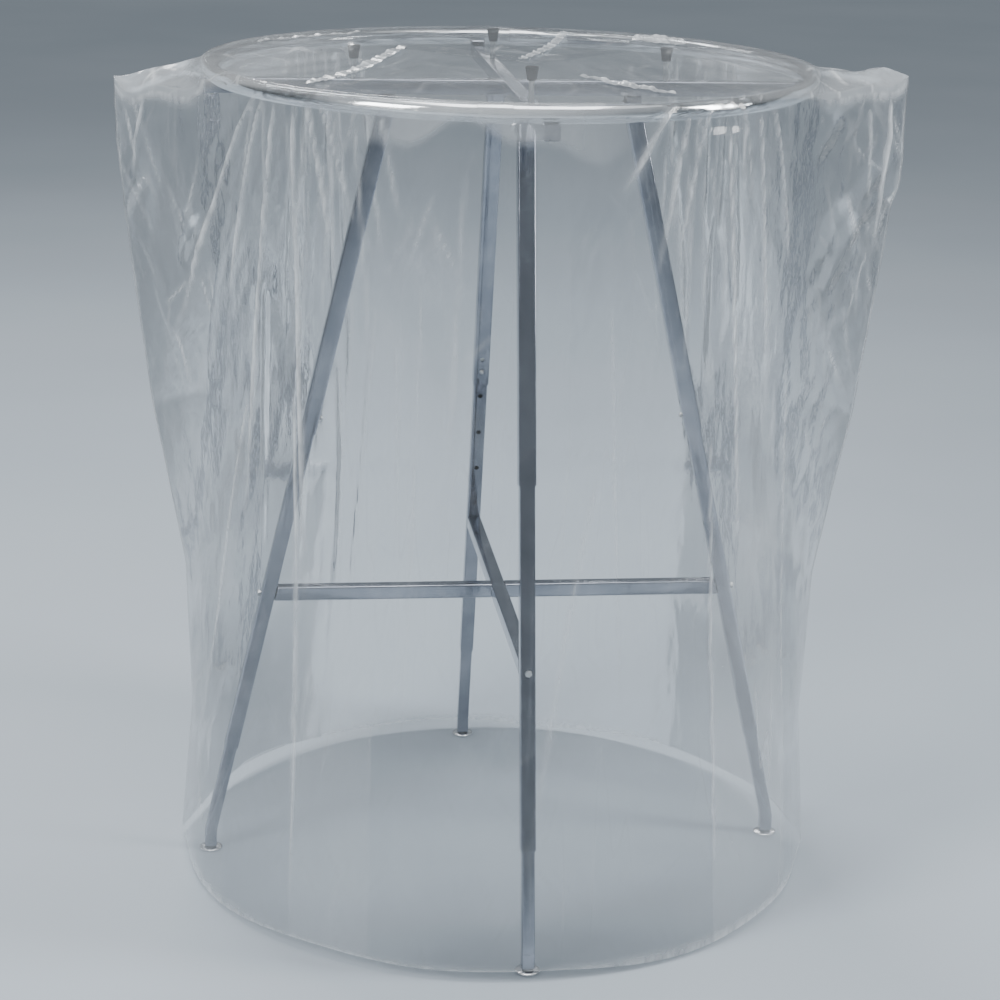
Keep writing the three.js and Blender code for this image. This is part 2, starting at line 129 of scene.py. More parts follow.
def noise_node(tree, scale, detail=4.0, rough=0.55, stretch=(1, 1, 1)):
    """Noise on the object's own coordinates. stretch squeezes it along each axis."""
    coords = tree.nodes.new("ShaderNodeTexCoord")
    mapping = tree.nodes.new("ShaderNodeMapping")
    mapping.inputs["Scale"].default_value = stretch
    tree.links.new(coords.outputs["Object"], mapping.inputs["Vector"])
    tex = add(tree, "ShaderNodeTexNoise", Scale=scale, Detail=detail, Roughness=rough)
    tree.links.new(mapping.outputs["Vector"], tex.inputs["Vector"])
    return tex


def ramp(tree, source, low, high, at=(0.35, 0.65)):
    node = tree.nodes.new("ShaderNodeMapRange")
    node.inputs["From Min"].default_value, node.inputs["From Max"].default_value = at
    node.inputs["To Min"].default_value, node.inputs["To Max"].default_value = low, high
    tree.links.new(source, node.inputs["Value"])
    return node.outputs["Result"]


def colours(tree, source, dark, light, at=(0.35, 0.65)):
    node = tree.nodes.new("ShaderNodeValToRGB")
    node.color_ramp.elements[0].position, node.color_ramp.elements[1].position = at
    node.color_ramp.elements[0].color = (*dark, 1)
    node.color_ramp.elements[1].color = (*light, 1)
    tree.links.new(source, node.inputs["Fac"])
    return node.outputs["Color"]


def bump(tree, height, strength, distance):
    node = add(tree, "ShaderNodeBump", Strength=strength, Distance=distance)
    tree.links.new(height, node.inputs["Height"])
    return node.outputs["Normal"]


def math_node(tree, operation, a, b):
    node = tree.nodes.new("ShaderNodeMath")
    node.operation = operation
    for socket, value in zip(node.inputs, (a, b)):
        if isinstance(value, (int, float)):
            socket.default_value = value
        else:
            tree.links.new(value, socket)
    return node.outputs[0]


def times(tree, a, b):
    return math_node(tree, "MULTIPLY", a, b)


def plus(tree, a, b):
    return math_node(tree, "ADD", a, b)


def mix_shaders(tree, factor, first, second):
    node = tree.nodes.new("ShaderNodeMixShader")
    if isinstance(factor, (int, float)):
        node.inputs[0].default_value = factor
    else:
        tree.links.new(factor, node.inputs[0])
    tree.links.new(first.outputs[0], node.inputs[1])
    tree.links.new(second.outputs[0], node.inputs[2])
    return node


def crease_lines(tree, tex, width):
    """1 along the thin lines where a noise crosses its middle value, 0 elsewhere."""
    away = math_node(tree, "ABSOLUTE", math_node(tree, "SUBTRACT", tex.outputs["Fac"], 0.5), 0)
    return ramp(tree, away, 1.0, 0.0, (0.0, width))


# ---- Materials ----
def metal(name, dark, light, rough, stretch=(1, 1, 1), wave=0.06):
    """Plated steel: cloudy patches and fine wiping marks in the gloss, and a slight waviness."""
    mat, tree, out = new_material(name)
    shader = add(tree, "ShaderNodeBsdfPrincipled", Metallic=1.0)
    patches = noise_node(tree, 9, 5, 0.6)
    wipes = noise_node(tree, 140, 3, 0.6, stretch)
    mix = tree.nodes.new("ShaderNodeMath")
    mix.operation = "MULTIPLY_ADD"
    tree.links.new(patches.outputs["Fac"], mix.inputs[0])
    mix.inputs[1].default_value = 0.6
    scaled = ramp(tree, wipes.outputs["Fac"], 0.1, 0.35, (0.3, 0.7))
    tree.links.new(scaled, mix.inputs[2])
    tree.links.new(ramp(tree, mix.outputs[0], *rough), shader.inputs["Roughness"])
    tree.links.new(colours(tree, patches.outputs["Fac"], dark, light), shader.inputs["Base Color"])
    ripple = noise_node(tree, 26, 2, 0.5, stretch)
    tree.links.new(bump(tree, ripple.outputs["Fac"], wave, 0.004), shader.inputs["Normal"])
    tree.links.new(shader.outputs[0], out.inputs["Surface"])
    return mat


def rubber():
    """Moulded black rubber with a fine grain and a dusting of paler bloom."""
    mat, tree, out = new_material("bumper rubber")
    shader = add(tree, "ShaderNodeBsdfPrincipled")
    grain = noise_node(tree, 900, 3, 0.6)
    bloom = noise_node(tree, 60, 5, 0.65)
    dark, light = (0.010, 0.010, 0.011), (0.035, 0.035, 0.037)
    tree.links.new(colours(tree, bloom.outputs["Fac"], dark, light), shader.inputs["Base Color"])
    tree.links.new(ramp(tree, bloom.outputs["Fac"], 0.45, 0.75), shader.inputs["Roughness"])
    tree.links.new(bump(tree, grain.outputs["Fac"], 0.35, 0.0006), shader.inputs["Normal"])
    tree.links.new(shader.outputs[0], out.inputs["Surface"])
    return mat


def attribute(tree, name):
    node = tree.nodes.new("ShaderNodeAttribute")
    node.attribute_name = name
    return node.outputs["Fac"]


def film():
    """Clear polyethylene: see-through and glossy, white along its folds, milky where it lies double."""
    mat, tree, out = new_material("clear film")
    white, milky = attribute(tree, "white"), attribute(tree, "milk")
    hair_lines = crease_lines(tree, noise_node(tree, 12, 2, 0.5, (1, 1, 0.10)), 0.010)
    patches = noise_node(tree, 3.4, 2, 0.5, (1, 1, 0.6))
    hair_lines = times(tree, hair_lines, ramp(tree, patches.outputs["Fac"], 0.0, 0.30, (0.48, 0.66)))
    broken = noise_node(tree, 55, 3, 0.6, (1, 1, 0.4))
    white = times(tree, white, ramp(tree, broken.outputs["Fac"], 0.55, 1.15, (0.35, 0.60)))

    soft = noise_node(tree, 8, 3, 0.5, (1, 1, 0.25))
    grain = noise_node(tree, 70, 3, 0.6, (1, 1, 0.5))
    height = plus(tree, soft.outputs["Fac"], times(tree, grain.outputs["Fac"], 0.06))
    normal = bump(tree, height, 0.35, 0.02)

    clear = add(tree, "ShaderNodeBsdfTransparent", Color=(0.965, 0.977, 0.985, 1))
    milk = add(tree, "ShaderNodeBsdfDiffuse", Color=(0.93, 0.96, 0.98, 1))
    through = add(tree, "ShaderNodeBsdfTranslucent", Color=(0.93, 0.96, 0.98, 1))
    gloss = add(tree, "ShaderNodeBsdfGlossy", Color=(1, 1, 1, 1), Roughness=0.10)
    tree.links.new(normal, gloss.inputs["Normal"])
    haze = mix_shaders(tree, 0.5, milk, through)
    cloudy = noise_node(tree, 3.2, 5, 0.6, (1, 1, 0.35))
    amount = ramp(tree, cloudy.outputs["Fac"], 0.01, 0.06, (0.38, 0.70))
    facing = add(tree, "ShaderNodeLayerWeight", Blend=0.2)
    amount = plus(tree, amount, times(tree, facing.outputs["Facing"], 0.10))
    amount = plus(tree, amount, plus(tree, times(tree, white, 0.84), times(tree, milky, 0.15)))
    amount = plus(tree, amount, times(tree, hair_lines, 0.5))
    body = mix_shaders(tree, amount, clear, haze)
    edge = add(tree, "ShaderNodeFresnel", IOR=1.46)
    tree.links.new(normal, edge.inputs["Normal"])
    whole = mix_shaders(tree, times(tree, edge.outputs[0], 0.9), body, gloss)
    tree.links.new(whole.outputs[0], out.inputs["Surface"])
    return mat


def floor_material():
    mat, tree, out = new_material("floor")
    shader = add(tree, "ShaderNodeBsdfPrincipled", Roughness=0.6)
    tone = noise_node(tree, 0.7, 3, 0.5)
    dark, light = (0.36, 0.41, 0.46), (0.39, 0.44, 0.49)
    tree.links.new(colours(tree, tone.outputs["Fac"], dark, light), shader.inputs["Base Color"])
    tree.links.new(shader.outputs[0], out.inputs["Surface"])
    return mat


# ---- Mesh helpers ----
def make_piece(name, verts, faces, material, smooth=True):
    mesh = bpy.data.meshes.new(name)
    mesh.from_pydata([tuple(v) for v in verts], [], faces)
    mesh.validate()
    obj = bpy.data.objects.new(name, mesh)
    bpy.context.scene.collection.objects.link(obj)
    mesh.materials.append(material)
    tidy_normals(obj, smooth)
    return obj


def tidy_normals(obj, smooth=True, sharp=math.radians(32)):
    bm = bmesh.new()
    bm.from_mesh(obj.data)
    bmesh.ops.recalc_face_normals(bm, faces=bm.faces)
    for face in bm.faces:
        face.smooth = smooth
    for edge in bm.edges:
        if len(edge.link_faces) == 2 and edge.calc_face_angle() > sharp:
            edge.smooth = False
    bm.to_mesh(obj.data)
    bm.free()


def loft(rings, closed_ends=True):
    """Faces between rings of equal length; the last ring joins the first if closed_ends is False."""
    n = len(rings[0])
    verts = [v for ring in rings for v in ring]
    faces = []
    spans = len(rings) - 1 if closed_ends else len(rings)
    for j in range(spans):
        a, b = j * n, ((j + 1) % len(rings)) * n
        for i in range(n):
            k = (i + 1) % n
            faces.append((a + i, a + k, b + k, b + i))
    if closed_ends:
        faces.append(tuple(range(n))[::-1])
        faces.append(tuple(range(len(verts) - n, len(verts))))
    return verts, faces


def turned(profile, centre, axis=UP, sides=40):
    """A turned piece: profile is [(radius, height)] from one end of the axis to the other."""
    axis = Vector(axis).normalized()
    side = axis.orthogonal().normalized()
    other = axis.cross(side)
    rings = []
    for r, h in profile:
        ring = []
        for i in range(sides):
            a = 2 * math.pi * i / sides
            spoke = side * math.cos(a) + other * math.sin(a)
            ring.append(Vector(centre) + axis * h + spoke * max(r, 1e-5))
        rings.append(ring)
    return loft(rings)


def rounded_square(half, radius, steps=4):
    """Points of a square with round corners, counter-clockwise."""
    points = []
    for k in range(4):
        a0 = k * math.pi / 2
        cx = (half - radius) * (1 if k in (0, 3) else -1)
        cy = (half - radius) * (1 if k in (0, 1) else -1)
        for i in range(steps + 1):
            a = a0 + i * math.pi / 2 / steps
            points.append((cx + radius * math.cos(a), cy + radius * math.sin(a)))
    return points


def square_tube(stations, size, wall):
    """An open-ended square tube. Each station is (centre, side direction, other direction)."""
    outside = rounded_square(size / 2, CORNER)
    inside = rounded_square(size / 2 - wall, max(CORNER - wall, 0.0008))

    def ring(station, section):
        c, u, v = station
        return [c + u * a + v * b for a, b in section]

    rings = [ring(s, outside) for s in stations] + [ring(s, inside) for s in reversed(stations)]
    return loft(rings, closed_ends=False)


def merge(*parts):
    verts, faces = [], []
    for v, f in parts:
        base = len(verts)
        verts += list(v)
        faces += [tuple(i + base for i in face) for face in f]
    return verts, faces


def drill(obj, cutters):
    """Cuts the given closed shapes out of a piece."""
    verts, faces = merge(*cutters)
    tool = make_piece("tool", verts, faces, obj.data.materials[0])
    mod = obj.modifiers.new("drill", "BOOLEAN")
    mod.operation, mod.solver, mod.object = "DIFFERENCE", "EXACT", tool
    bpy.context.view_layer.update()
    cut = bpy.data.meshes.new_from_object(obj.evaluated_get(bpy.context.evaluated_depsgraph_get()))
    obj.modifiers.clear()
    obj.data = cut
    bpy.data.objects.remove(tool)
    tidy_normals(obj)


def ready(obj, body, slot, *nodes):
    """Says which body a piece rides on and hides the CAD nodes it stands for. The finish passed as slot is
    not used.
    """
    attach(obj, body)
    if nodes:
        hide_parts(*nodes)
    return obj


# ---- Ring ----
def arc_tube(outer, inner, start, end, steps, sides=40, lip=0.0008):
    """Part of a torus round Z as an open tube with slightly rounded ends."""
    rings = []
    angles = np.linspace(start, end, steps + 1)
    nib = lip / RING_RADIUS

    def ring(angle, radius):
        out = Vector((math.cos(angle), math.sin(angle), 0))
        centre = out * RING_RADIUS + UP * RING_Z
        turn = [2 * math.pi * i / sides for i in range(sides)]
        return [centre + out * (radius * math.cos(a)) + UP * (radius * math.sin(a)) for a in turn]

    rings.append(ring(start, outer - lip))
    rings += [ring(a, outer) for a in np.clip(angles, start + nib, end - nib)]
    rings.append(ring(end, outer - lip))
    rings.append(ring(end, inner))
    rings += [ring(a, inner) for a in angles[::-1][1:-1]]
    rings.append(ring(start, inner))
    return loft(rings, closed_ends=False)


def make_ring(chrome):
    gap = 0.00015 / RING_RADIUS
    for name, start in (("half_ring_right", SPLICE_AZIMUTH), ("half_ring_left", SPLICE_AZIMUTH + math.pi)):
        shape = arc_tube(RING_TUBE_R, RING_TUBE_R - 0.0015, start + gap, start + math.pi - gap, 120)
        ready(make_piece("visual_" + name, *shape, chrome), "top_frame", "ring_chrome", name)
    for name, mid in (("ring_splice_front", SPLICE_AZIMUTH), ("ring_splice_rear", SPLICE_AZIMUTH + math.pi)):
        shape = arc_tube(
            RING_TUBE_R + 0.0014, RING_TUBE_R + 0.0002, mid - SPLICE_HALF_ANGLE, mid + SPLICE_HALF_ANGLE, 10
        )
        ready(make_piece("visual_" + name, *shape, chrome), "top_frame", "ring_chrome", name)


# ---- Bars ----
PLUG_DEPTH = 0.0022  # of an end plate inside its tube


def make_bar(name, body, material, direction, start, end, z, slope=0.0):
    """A square bar along a horizontal direction. slope cuts its ends to lie along a leaning leg."""
    out = Vector(direction)
    across = UP.cross(out)
    stations = []
    for reach in (start, end):
        is_leg_end = abs(reach) > 0.1
        lean = out * (-slope * math.copysign(1, reach)) if is_leg_end else Vector()
        stations.append((out * reach + UP * z, across, UP + lean))
    parts = [square_tube(stations, BAR, BAR_WALL)]
    if not slope:
        for reach in (start, end):
            inset = math.copysign(PLUG_DEPTH, reach)
            parts.append(end_plug(out * (reach - inset) + UP * z, out))
    piece = make_piece("visual_" + name, *merge(*parts), material)
    return ready(piece, body, "tube_chrome", name)


def end_plug(centre, axis):
    """The slightly domed plate that closes the end of a top bar."""
    half = BAR / 2 - BAR_WALL - 0.0001
    across = UP.cross(axis)
    rings = []
    for depth, inset in ((-0.0006, 0.0), (0.0004, 0.0), (0.0010, 0.0012)):
        section = rounded_square(half - inset, 0.0016)
        rings.append([centre + axis * depth + across * a + UP * b for a, b in section])
    return loft(rings)


def make_bars(chrome):
    gap = BAR / 2 + TUBE_GAP
    reach = TOP_BAR_REACH
    make_bar("top_bar_long", "top_frame", chrome, (0, 1, 0), -reach, reach, TOP_BAR_Z)
    make_bar("top_bar_right", "top_frame", chrome, (1, 0, 0), gap, reach, TOP_BAR_Z)
    make_bar("top_bar_left", "top_frame", chrome, (-1, 0, 0), gap, reach, TOP_BAR_Z)
    end = LEG_AT_FLOOR - LEG_SLOPE * CROSSBAR_Z - BAR / 2 / math.cos(LEAN) - 0.0012
    make_bar("crossbar_long", "crossbars", chrome, (0, 1, 0), -end, end, CROSSBAR_Z, LEG_SLOPE)
    make_bar("crossbar_right", "crossbars", chrome, (1, 0, 0), gap, end, CROSSBAR_Z, LEG_SLOPE)
    make_bar("crossbar_left", "crossbars", chrome, (-1, 0, 0), gap, end, CROSSBAR_Z, LEG_SLOPE)


# ---- Legs ----
class Leg:
    """Directions and heights of one leg."""

    def __init__(self, name):
        a = math.radians(LEG_AZIMUTHS[name])
        self.name = name
        self.out = Vector((math.cos(a), math.sin(a), 0))
        self.side = UP.cross(self.out)
        self.up = UP * math.cos(LEAN) - self.out * math.sin(LEAN)
        self.face = self.out * math.cos(LEAN) + UP * math.sin(LEAN)

    def at(self, z):
        return self.out * (LEG_AT_FLOOR - LEG_SLOPE * z) + UP * z

    def hole(self, z, radius, half):
        """A cutter through the inner side of the leg at a height."""
        start = self.at(z) - self.face * (half + 0.004)
        return turned([(radius, 0), (radius, 0.009)], start, self.face, 20)


def make_upper_leg(leg, chrome):
    top = leg.at(PIVOT_Z) + leg.up * 0.012
    stations = [(leg.at(UPPER_END_Z), leg.face, leg.side), (top, leg.face, leg.side)]
    name = "upper_leg_" + leg.name
    piece = make_piece("visual_" + name, *square_tube(stations, UPPER, BAR_WALL), chrome)
    drill(piece, [leg.hole(z, LEG_HOLE_R, UPPER / 2) for z in (LOCK_Z, SPARE_HOLE_Z)])
    ready(piece, name, "tube_chrome", name)


def make_base_leg(leg, chrome):
    stations = [(leg.at(z), leg.face, leg.side) for z in (BASE_END_Z, BASE_TOP_Z)]
    name = "base_leg_" + leg.name
    piece = make_piece("visual_" + name, *square_tube(stations, BAR, BAR_WALL), chrome)
    row = [leg.hole(ROW_START_Z + i * ROW_PITCH, LEG_HOLE_R, BAR / 2) for i in range(8)]
    drill(piece, row + [leg.hole(LOCK_Z, LEG_HOLE_R, BAR / 2)])
    ready(piece, name, "tube_chrome", name)


def make_foot(leg, chrome):
    """The foot tube, bent upright near the floor, with a plugged end."""
    foot_r = LEG_AT_FLOOR - LEG_SLOPE * FOOT_BEND_Z
    stations = []
    bend_half = 0.010
    for z in (FOOT_TOP_Z, FOOT_BEND_Z + bend_half):
        stations.append((leg.at(z), leg.face, leg.side))
    low = leg.out * foot_r
    start, corner = leg.at(FOOT_BEND_Z + bend_half), leg.at(FOOT_BEND_Z)
    end = low + UP * (FOOT_BEND_Z - bend_half)
    for t in (0.25, 0.5, 0.75, 1.0):
        centre = start * (1 - t) ** 2 + corner * (2 * t * (1 - t)) + end * t * t
        tilt = LEAN * (1 - t)
        stations.append((centre, leg.out * math.cos(tilt) + UP * math.sin(tilt), leg.side))
    stations.append((low + UP * FOOT_BOTTOM_Z, leg.out, leg.side))
    plug = turned([(0.0092, 0), (0.0092, 0.008)], low + UP * (FOOT_BOTTOM_Z + 0.0006), UP, 4)
    name = "foot_tube_" + leg.name
    tube = square_tube(stations, FOOT, FOOT_WALL)
    piece = make_piece("visual_" + name, *merge(tube, plug), chrome)
    ready(piece, "base_leg_" + leg.name, "tube_chrome", name)


def make_glide(leg, chrome):
    foot_r = LEG_AT_FLOOR - LEG_SLOPE * FOOT_BEND_Z
    profile = [(0, 0), (0.0172, 0), (0.0181, 0.0004), (0.0185, 0.0012), (0.0185, 0.0028), (0.0182, 0.0036)]
    profile += [(0.0174, 0.0042), (0.0150, 0.0048), (0.0105, 0.0055), (0.0062, 0.0062), (0.0045, 0.0066)]
    profile += [(0.0040, 0.0075), (0.0040, 0.0360), (0, 0.0360)]
    name = "glide_" + leg.name
    piece = make_piece("visual_" + name, *turned(profile, leg.out * foot_r, UP, 56), chrome)
    ready(piece, name, "glide_chrome", name)


def hex_bolt(centre, axis, shaft_r, length, head_r, head_h, washer_r=0.0, nut=False):
    """A bolt whose head starts at centre and whose shaft runs back along -axis."""
    axis = Vector(axis).normalized()
    far = centre - axis * length
    head = [(0, 0), (head_r, 0), (head_r, head_h * 0.78), (head_r * 0.87, head_h), (0, head_h)]
    shaft = [(0, 0), (shaft_r, 0), (shaft_r, length), (0, length)]
    parts = [turned(head, centre, axis, 6), turned(shaft, far, axis, 24)]
    if washer_r:
        washer = [(0, -0.0002), (washer_r, -0.0002), (washer_r, 0.0008), (0, 0.0008)]
        parts.append(turned(washer, centre, axis, 32))
    if nut:
        hexagon = [(0, 0), (head_r * 0.9, 0), (head_r, 0.001), (head_r, 0.005), (0, 0.005)]
        parts.append(turned(hexagon, far, axis, 6))
    return merge(*parts)


def make_bolts(leg, zinc):
    half = UPPER / 2 + TUBE_GAP + BRACKET_WALL + TUBE_GAP
    start = leg.at(PIVOT_Z) + leg.side * half
    pivot = hex_bolt(start, leg.side, 0.004, 2 * half + 0.006, 0.0072, 0.005, nut=True)
    name = "pivot_bolt_" + leg.name
    ready(make_piece("visual_" + name, *pivot, zinc), "top_frame", "zinc_steel", name)
    outer = LEG_AT_FLOOR - LEG_SLOPE * CROSSBAR_Z + BAR / 2 / math.cos(LEAN) + 0.0016
    centre = leg.out * outer + UP * CROSSBAR_Z
    cross = hex_bolt(centre, leg.out, 0.003, 0.050, 0.0055, 0.004)
    name = "crossbar_bolt_" + leg.name
    ready(make_piece("visual_" + name, *cross, zinc), "base_leg_" + leg.name, "zinc_steel", name)


def make_button(leg, zinc):
    """The domed snap button on its spring leaf."""
    root = leg.at(LOCK_Z) - leg.face * (BAR / 2 - BAR_WALL - 0.0004)
    profile = [(0, -0.0008), (0.0036, -0.0008), (0.0036, 0.0058), (0.0033, 0.0070), (0.0026, 0.0078)]
    profile += [(0.0014, 0.0083), (0, 0.0085)]
    dome = turned(profile, root, -leg.face, 28)
    bar = []
    for d in (-0.012, 0.030):
        c = root + leg.up * d + leg.face * 0.0004
        u, v = leg.face * 0.0004, leg.side * 0.0045
        bar.append([c - u - v, c + u - v, c + u + v, c - u + v])
    name = "snap_button_" + leg.name
    ready(make_piece("visual_" + name, *merge(dome, loft(bar)), zinc), name, "zinc_steel", name)


def make_post(leg, zinc, black):
    foot = leg.out * POST_RADIUS
    low, high = TOP_BAR_Z - BAR / 2 + BAR_WALL + TUBE_GAP, BUMPER_TOP - 0.007
    rod = turned([(0, low), (POST_ROD_R, low), (POST_ROD_R, high), (0, high)], foot, UP, 28)
    name = "topper_post_" + leg.name
    ready(make_piece("visual_" + name, *rod, zinc), "top_frame", "zinc_steel", name)
    profile = [(0.0043, -0.0188), (0.0044, -0.0200), (0.0062, -0.0200), (0.0066, -0.0197)]
    profile += [(0.0068, -0.0190), (0.0090, -0.0048), (0.0094, -0.0036), (0.0095, -0.0026)]
    profile += [(0.0095, -0.0012), (0.0092, -0.0005), (0.0086, -0.0001), (0.0050, 0.0), (0, 0.0)]
    shape = turned([(r, BUMPER_TOP + h) for r, h in profile], foot, UP, 48)
    name = "topper_bumper_" + leg.name
    ready(make_piece("visual_" + name, *shape, black), "top_frame", "bumper_rubber", name)


def make_screw(leg, zinc):
    """Round-headed screw under a top bar."""
    under = TOP_BAR_Z - BAR / 2
    profile = [(0, -0.0033), (0.0020, -0.0033), (0.0036, -0.0030), (0.0047, -0.0020), (0.0050, -0.0003)]
    profile += [(0.0024, -0.0003), (0.0024, 0.029), (0, 0.029)]
    shape = turned(profile, leg.out * RING_RADIUS + UP * under, UP, 28)
    name = "ring_screw_" + leg.name
    ready(make_piece("visual_" + name, *shape, zinc), "top_frame", "zinc_steel", name)


def finish_bracket(leg, chrome):
    """The CAD bracket stays, with welded vertices, broken edges and its own material."""
    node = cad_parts["leg_bracket_" + leg.name]
    weld = node.modifiers.new("weld", "WELD")
    weld.merge_threshold = 1e-5
    edge = node.modifiers.new("edge", "BEVEL")
    edge.width, edge.segments, edge.limit_method = 0.0005, 2, "ANGLE"
    node.data.materials.clear()
    node.data.materials.append(chrome)


# ---- Cover film ----
HEM_Z = 0.014
FILM_RING = RING_RADIUS + RING_TUBE_R + 0.0022  # radius of the film where it lies on the ring
FILM_TOP_Z = RING_Z + RING_TUBE_R + 0.0015
RIM_Z = FILM_TOP_Z - 0.012  # where the sides end and the top begins
EAR_REACH = 0.592
# height, radius of the round part and reach of the ears
FILM_LEVELS = [
    (HEM_Z, 0.4915, 0.505),
    (0.24, 0.480, 0.486),
    (0.48, 0.468, 0.494),
    (0.74, 0.464, 0.541),
    (1.00, 0.4615, 0.572),
    (1.18, 0.4605, 0.590),
    (RIM_Z, FILM_RING, EAR_REACH),
]
# Azimuths below are in degrees from the right ear, anticlockwise from above: the front is -90.
# Folds: azimuth and height at both ends, half width at both ends, how far out it stands, whiteness.
FRONT_FOLDS = [
    (-139, 1.25, -167, 0.86, 0.0040, 0.0200, 0.011, 0.8),
    (-137, 1.25, -150, 0.90, 0.0040, 0.0140, 0.010, 0.7),
    (-134, 1.25, -143, 0.58, 0.0035, 0.0110, 0.009, 0.9),
    (-130, 1.25, -126, 0.50, 0.0035, 0.0090, 0.009, 1.0),
    (-127, 1.25, -120, 1.02, 0.0035, 0.0100, 0.007, 0.8),
    (-124, 1.25, -116, 1.08, 0.0035, 0.0090, 0.006, 0.6),
    (-112, 1.24, -108, 1.10, 0.0040, 0.0110, 0.004, 0.4),
    (-62, 1.255, -71, 1.14, 0.0070, 0.0140, 0.014, 1.0),
    (-58, 1.25, -64, 1.02, 0.0035, 0.0080, 0.009, 0.9),
    (-54, 1.25, -60, 1.04, 0.0035, 0.0080, 0.008, 0.9),
    (-50, 1.25, -42, 0.58, 0.0035, 0.0100, 0.009, 1.0),
    (-46, 1.25, -45, 1.12, 0.0030, 0.0070, 0.006, 0.7),
    (-42, 1.25, -35, 0.80, 0.0035, 0.0090, 0.008, 0.8),
    (-38, 1.25, -30, 0.98, 0.0035, 0.0120, 0.008, 0.7),
    (-129, 0.86, -127, 0.01, 0.0030, 0.0040, 0.005, 0.8),
    (-73, 0.76, -84, 0.16, 0.0080, 0.0160, 0.007, 0.35),
    (-141, 0.82, -158, 0.26, 0.0050, 0.0060, 0.006, 0.6),
    (-51, 0.82, -47, 0.01, 0.0040, 0.0050, 0.006, 0.5),
    (-30, 0.90, -20, 0.01, 0.0050, 0.0070, 0.006, 0.5),
    (-97, 1.18, -99, 0.70, 0.0040, 0.0060, 0.004, 0.35),
    (-4, 1.23, -3, 0.98, 0.0050, 0.0070, 0.008, 1.0),
    (-9, 1.22, -6, 1.06, 0.0040, 0.0060, 0.006, 0.8),
    (-173, 1.20, -176, 1.08, 0.0040, 0.0060, 0.005, 0.8),
]
# Crumpled patches: azimuth, height, reach along the bag, reach in height, strength
PATCHES = [
    (-5, 1.08, 0.10, 0.17, 1.0),
    (-14, 0.84, 0.09, 0.16, 0.7),
    (-12, 0.55, 0.06, 0.10, 0.5),
    (-158, 1.00, 0.07, 0.12, 0.8),
    (-170, 0.86, 0.06, 0.10, 0.9),
    (-176, 1.15, 0.06, 0.07, 0.9),
    (-102, 1.06, 0.08, 0.10, 0.5),
    (-94, 0.88, 0.05, 0.10, 0.4),
    (-160, 0.13, 0.05, 0.04, 0.6),
    (8, 1.05, 0.10, 0.16, 0.8),
    (172, 1.02, 0.10, 0.16, 0.8),
    (120, 0.95, 0.10, 0.16, 0.4),
    (60, 0.90, 0.10, 0.16, 0.4),
]
# Panels that look milkier: azimuths of both edges at the top and at the hem, top height, milkiness
PANELS = [
    (-51, -31, -47, -20, 0.80, 0.9),
    (-129, -112, -127, -111, 0.55, 0.5),
    (-162, -150, -160, -146, 0.45, 0.4),
]


def smooth_step(t):
    t = np.clip(t, 0, 1)
    return t * t * (3 - 2 * t)


def level_at(z):
    heights = [level[0] for level in FILM_LEVELS]
    return [float(np.interp(z, heights, [level[k] for level in FILM_LEVELS])) for k in (1, 2)]


def section_points(round_r, ear, count):
    """Points of a lens-shaped section at even steps along it, from the right ear anticlockwise."""
    dense = 2400
    angle = np.linspace(0, 2 * math.pi, dense, endpoint=False)
    from_ear = np.abs(np.arctan2(np.sin(angle), np.abs(np.cos(angle))))
    opening = np.maximum(0, math.acos(min(1, round_r / ear)) - from_ear)
    r = round_r / np.cos(opening)
    x, y = r * np.cos(angle), r * np.sin(angle)
    step = np.hypot(np.roll(x, -1) - x, np.roll(y, -1) - y)
    along = np.concatenate([[0], np.cumsum(step)])
    want = np.linspace(0, along[-1], count, endpoint=False)
    return np.interp(want, along, np.append(x, x[0])), np.interp(want, along, np.append(y, y[0]))


def ear_droop(x, y, to_seam):
    """How far the film between ring and ears hangs below the ring's top. to_seam is 1 on the seam."""
    t = np.clip((np.hypot(x, y) - FILM_RING) / (EAR_REACH - FILM_RING), 0, 1)
    left = x < 0
    tip = np.where(left, 0.036, 0.008)
    sag = np.where(left, 0.030, 0.012) * (1 - 0.65 * to_seam)
    scallops = 0.010 * np.sin(3 * math.pi * t) * (1 - to_seam) * np.where(left, 1, 0.4)
    ridge = 0.016 * to_seam * np.exp(-(((t - 0.62) / 0.22) ** 2)) * np.where(left, 0.3, 1)
    return tip * t**1.3 + sag * np.sin(math.pi * t) + scallops - ridge


def tent_height(x, y):
    """Height of the film over the ring and the four bumpers, in the bag's own axes."""
    r = np.hypot(x, y)
    azimuth = np.arctan2(y, x) + EAR_AZIMUTH
    from_bumper = (azimuth + math.pi / 4) % (math.pi / 2) - math.pi / 4
    side = POST_RADIUS * math.cos(math.pi / 4) / np.cos(math.pi / 4 - np.abs(from_bumper))
    t = np.clip((FILM_RING - 0.004 - r) / (FILM_RING - 0.004 - side), 0, 1)
    peak = BUMPER_TOP + 0.002
    slack = 0.007 * np.sin(math.pi * t) * np.sin(2 * np.abs(from_bumper))
    slack += 0.006 * (1 - (r / side) ** 2) * (t >= 1)
    radial = 0.0009 * np.sin(azimuth * 31 + 2.5 * np.sin(azimuth * 5)) * np.sin(math.pi * t)
    z = FILM_TOP_Z + 0.001 + (peak - FILM_TOP_Z - 0.001) * t - slack + radial
    for leg_azimuth in LEG_AZIMUTHS.values():
        a = math.radians(leg_azimuth) - EAR_AZIMUTH
        near = np.hypot(x - POST_RADIUS * math.cos(a), y - POST_RADIUS * math.sin(a))
        z = np.maximum(z, peak - 1.1 * np.maximum(0, near - 0.0115))
    return z


